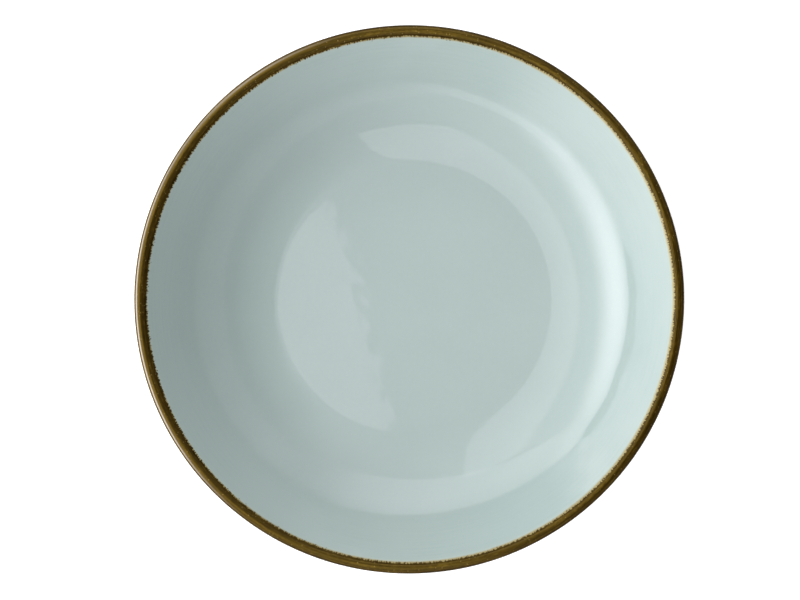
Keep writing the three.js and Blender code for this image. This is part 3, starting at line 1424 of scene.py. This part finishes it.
@dataclass
class Studio:
    """Pale floor, soft lights and the camera above, a little to the right of the plate."""

    skin: PlateSkin
    lens: float = 150.77
    sensor: float = 36.0
    eye_height: float = 1398.0 * MM
    eye_spot: Span = (89.4 * MM, -18.4 * MM)
    aim_spot: Span = (-3.24 * MM, -0.38 * MM)
    reach: float = 1.2
    floor_radius: float = 6.0
    floor_drop: float = 0.05 * MM
    floor_glow: float = 0.6
    floor_bounce: float = 0.4
    backdrop: float = 1.0
    ambient: float = 0.001
    floor_white: Colour = (0.86, 0.86, 0.86, 1.0)
    floor_roughness: float = 0.9
    floor_segments: int = 64
    farthest: float = 20.0

    def lights(self) -> list[SoftLight]:
        """Lists the diffusers: one overhead, a softbox on the left and low cards at the back and the front.

        Returns:
            The lights to hang.
        """
        return [
            self._overhead(),
            self._card(
                "side_softbox", azimuth=193.8, rise=(2.1, 26.6), span=(-2.73, 1.6), radiance=6.7,
                fades=Fades(left=0.774, right=0.485, lower=0.36, upper=0.56),
            ),
            self._card(
                "back_card", azimuth=81.0, rise=(9.4, 30.0), span=(-0.42, 2.6), radiance=1.17,
                fades=Fades(left=0.22, right=0.3, lower=0.06, upper=0.02),
            ),
            self._card(
                "front_card", azimuth=245.0, rise=(10.2, 15.5), span=(-0.75, 0.7), radiance=1.0,
                fades=Fades(left=0.15, right=0.5, lower=0.1, upper=0.1),
            ),
        ]

    def glows(self) -> list[RoomGlow | RoomWall]:
        """Lists the sides of the room that give light back.

        Returns:
            The glow on the left and the pale wall on the right.
        """
        left = RoomGlow(
            "left_of_room", direction=math.radians(174.3), faded=-1.18, full=0.0, low=0.0, high=0.31,
            radiance=1.34,
        )
        right = RoomWall(
            "right_of_room", direction=math.radians(5), foot=(0.155, 0.065, 0.03),
            top=(0.3345, 0.1975, 0.012), middle=math.radians(320), faded=-0.25, full=0.05, radiance=0.34,
        )
        return [left, right]

    def _overhead(self) -> SoftLight:
        """Hangs the diffuser overhead, whose near edge shows in the well.

        Returns:
            The diffuser as a light.
        """
        ceiling = 1.6
        near, far = 0.136, 1.67
        left, right = -3.6, 2.2
        toward = math.radians(198.0)
        out = Vector(heading(toward))
        side = Vector((math.sin(toward), -math.cos(toward), 0.0))
        middle = out * (near + far) / 2 - side * (left + right) / 2 + Vector((0.0, 0.0, ceiling))
        below = middle - Vector((0.0, 0.0, 1.0))
        return SoftLight(
            "overhead_diffuser", middle, faces=below, width=far - near, height=right - left, radiance=1.17,
            fades=Fades(left=0.0, right=0.31, lower=0.03, upper=0.03), turn=toward,
        )

    def _card(
        self, name: str, azimuth: float, rise: Span, span: Span, radiance: float, fades: Fades
    ) -> SoftLight:
        """Stands a white card beside the table.

        Args:
            name: Name of the card.
            azimuth: Direction of its nearest point, in degrees.
            rise: Elevation of its lower and upper edges there, in degrees.
            span: Where it starts and ends to the sides of that point.
            radiance: How bright it is.
            fades: How it comes in from its edges.

        Returns:
            The card as a light.
        """
        toward = math.radians(azimuth)
        wall = self.skin.height / 2
        low, high = (self.reach * math.tan(math.radians(angle)) + wall for angle in rise)
        out = Vector(heading(toward))
        side = Vector((-math.sin(toward), math.cos(toward), 0.0))
        middle = out * self.reach + side * sum(span) / 2 + Vector((0.0, 0.0, (low + high) / 2))
        return SoftLight(name, middle, middle - out, span[1] - span[0], high - low, radiance, fades)

    def build(self) -> None:
        """Sets the stage."""
        self._floor()
        self._world()
        self._camera()
        for light in self.lights():
            light.hang()
        bpy.context.scene.view_settings.view_transform = "Standard"

    def _floor(self) -> None:
        """Lays a pale floor that looks lit from below and gives only a part of that light back."""
        shape = bmesh.new()
        bmesh.ops.create_circle(
            shape, cap_ends=True, segments=self.floor_segments, radius=self.floor_radius
        )
        mesh = bpy.data.meshes.new("pale_floor")
        shape.to_mesh(mesh)
        shape.free()
        mesh.transform(Matrix.Translation((0.0, 0.0, -self.floor_drop)))
        finish = Finish("pale_floor")
        bench = finish.bench
        seen = bench.node("ShaderNodeLightPath").outputs["Is Camera Ray"]
        grey = (self.floor_bounce, self.floor_bounce, self.floor_bounce, 1.0)
        glow = bench.blend(seen, (0.0, 0.0, 0.0, 1.0), (1.0, 1.0, 1.0, 1.0))
        material = finish.shade(
            Base_Color=bench.blend(seen, grey, self.floor_white),
            Roughness=self.floor_roughness,
            Emission_Color=glow,
            Emission_Strength=self.floor_glow,
        )
        mesh.materials.append(material)
        floor = bpy.data.objects.new("pale_floor", mesh)
        bpy.context.scene.collection.objects.link(floor)

    def _world(self) -> None:
        """Shows a white backdrop and lights the rest with a dim room."""
        world = bpy.data.worlds.new("white_room")
        world.use_nodes = True
        bench = NodeBench(world.node_tree)
        world.node_tree.nodes.clear()
        ray = bench.node("ShaderNodeTexCoord").outputs["Generated"]
        light: Any = self.ambient
        for glow in self.glows():
            light = bench.math("ADD", glow.strength(bench, ray), light)
        seen = bench.node("ShaderNodeLightPath").outputs["Is Camera Ray"]
        strength = bench.mix(seen, light, self.backdrop)
        room = bench.node("ShaderNodeBackground", {"Color": (*DAYLIGHT, 1.0), "Strength": strength})
        bench.node("ShaderNodeOutputWorld", {"Surface": room.outputs[0]})
        bpy.context.scene.world = world

    def _camera(self) -> None:
        """Hangs the camera above, at the photograph's scale and with the photograph's top toward +Y."""
        camera = bpy.data.cameras.new("above")
        camera.lens = self.lens
        camera.sensor_width = self.sensor
        camera.clip_end = self.farthest
        rim = self.skin.lip_centre.y
        spot = Vector((*self.eye_spot, rim + self.eye_height))
        look = (Vector((*self.aim_spot, rim)) - spot).normalized()
        across = look.cross(Vector((0.0, 1.0, 0.0))).normalized()
        turn = Matrix((across, across.cross(look), -look)).transposed()
        eye = bpy.data.objects.new("above", camera)
        eye.matrix_world = Matrix.Translation(spot) @ turn.to_4x4()
        bpy.context.scene.collection.objects.link(eye)
        bpy.context.scene.camera = eye


def main() -> None:
    """Builds the studio and the plate, piece by piece."""
    logging.basicConfig(level=logging.INFO, format="%(name)s: %(message)s")
    skin = PlateSkin.from_frame()
    wheel = PottersWheel(skin)
    Studio(skin).build()
    effects = GlazeEffects(wheel)
    kiln = GlazeKiln(effects)
    finishes = {
        Slot.CLAY: BareClay().material(effects),
        Slot.BLUE: kiln.blue_glaze(),
        Slot.BROWN: kiln.brown_glaze(),
        Slot.PALE: kiln.cream_glaze(),
    }
    for assembly in (StonewareBody(wheel), BowlGlaze(wheel), LipBand(wheel), OutsideGlaze(wheel)):
        assembly.build(finishes)


if __name__ == "__main__":
    main()
